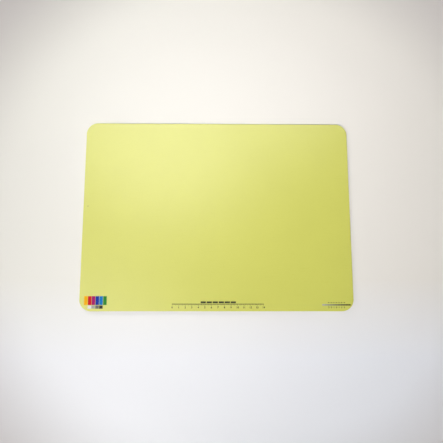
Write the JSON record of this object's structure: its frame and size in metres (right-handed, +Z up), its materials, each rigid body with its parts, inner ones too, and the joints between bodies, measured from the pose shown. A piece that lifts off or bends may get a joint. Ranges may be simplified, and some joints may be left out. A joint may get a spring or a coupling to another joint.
{
  "type": "flat easel board",
  "caption": "Flat laminated easel board with rounded corners: a lime printed face over a steel sheet that magnet strips hold to, a dark edge band below the face and low rubber foot pads.",
  "frame": {"origin": "centre of the plane that the foot pads stand on", "axes": "+X to the right along the long side, +Y to the rear, +Z up out of the printed face"},
  "size_m": [0.42, 0.3, 0.0026],
  "materials": {
    "film": "satin",
    "print": "satin",
    "steel": "satin",
    "core": "matte",
    "backing": "matte",
    "band": "satin",
    "pad": "matte",
    "tape": "matte"
  },
  "bodies": {
    "root": {"wear_film": "film", "face_sheet": "print", "steel_sheet": "steel", "core_board": "core", "back_sheet": "backing", "edge_band": "band", "foot_pad_front_left": "pad", "foot_pad_front_right": "pad", "foot_pad_rear_left": "pad", "foot_pad_rear_right": "pad", "pad_tape_front_left": "tape", "pad_tape_front_right": "tape", "pad_tape_rear_left": "tape", "pad_tape_rear_right": "tape"}
  },
  "joints": []
}
